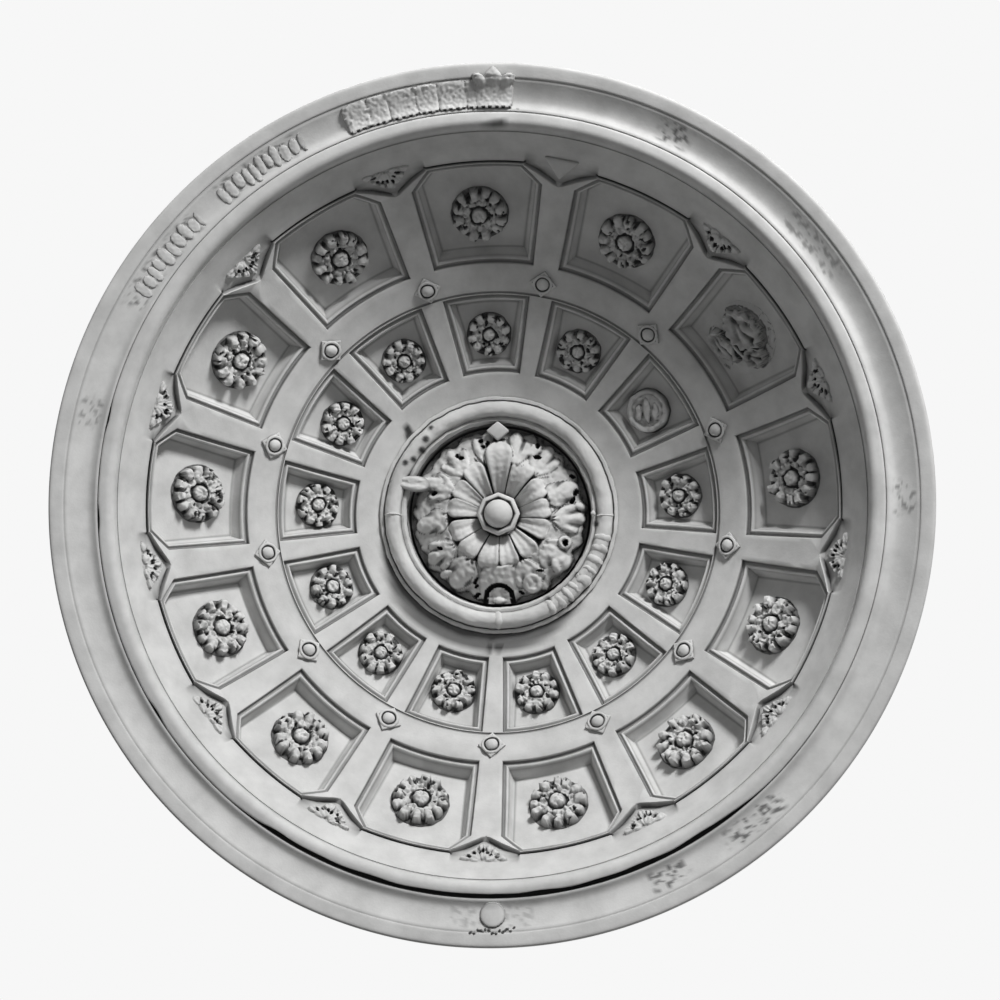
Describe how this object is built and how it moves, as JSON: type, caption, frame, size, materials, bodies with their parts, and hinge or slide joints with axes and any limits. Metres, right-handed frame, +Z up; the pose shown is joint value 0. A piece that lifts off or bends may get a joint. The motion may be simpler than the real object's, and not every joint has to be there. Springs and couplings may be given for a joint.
{
  "type": "ceiling dome",
  "caption": "Round coffered plaster ceiling dome with rosettes in its coffers, a ringed flower at the crown and a worn leaf cornice, set into a ceiling opening.",
  "frame": {"origin": "middle of the round ceiling opening, on the ceiling plane, level with the flat back of the cornice ring", "axes": "+Z up along the dome's axis, away from the room; the mouth faces -Z; one rib lies along +Y, which is the bottom of the picture, and +X is the picture's right"},
  "size_m": [1.8, 1.8, 0.472],
  "materials": {
    "plaster": "matte"
  },
  "bodies": {
    "root": {"dome_shell": "plaster", "rim_cornice": "plaster", "medallion_ring": "plaster", "medallion_flower": "plaster", "inner_rosette_01": "plaster", "inner_rosette_02": "plaster", "inner_rosette_03": "plaster", "inner_rosette_04": "plaster", "inner_rosette_05": "plaster", "inner_rosette_06": "plaster", "inner_rosette_07": "plaster", "inner_rosette_08": "plaster", "inner_rosette_09": "plaster", "inner_rosette_10": "plaster", "inner_rosette_11": "plaster", "inner_rosette_12": "plaster", "inner_rosette_13": "plaster", "outer_rosette_01": "plaster", "outer_rosette_02": "plaster", "outer_rosette_03": "plaster", "outer_rosette_04": "plaster", "outer_rosette_05": "plaster", "outer_rosette_06": "plaster", "outer_rosette_07": "plaster", "outer_rosette_08": "plaster", "outer_rosette_09": "plaster", "outer_rosette_10": "plaster", "outer_rosette_11": "plaster", "outer_rosette_12": "plaster", "outer_rosette_13": "plaster", "rib_button_01": "plaster", "rib_button_02": "plaster", "rib_button_03": "plaster", "rib_button_04": "plaster", "rib_button_05": "plaster", "rib_button_06": "plaster", "rib_button_07": "plaster", "rib_button_08": "plaster", "rib_button_09": "plaster", "rib_button_10": "plaster", "rib_button_11": "plaster", "rib_button_12": "plaster", "rib_button_13": "plaster", "spandrel_leaf_01": "plaster", "spandrel_leaf_02": "plaster", "spandrel_leaf_03": "plaster", "spandrel_leaf_04": "plaster", "spandrel_leaf_05": "plaster", "spandrel_leaf_06": "plaster", "spandrel_leaf_07": "plaster", "spandrel_leaf_08": "plaster", "spandrel_leaf_09": "plaster", "spandrel_leaf_10": "plaster", "spandrel_leaf_11": "plaster", "spandrel_leaf_12": "plaster", "spandrel_leaf_13": "plaster"}
  },
  "joints": []
}
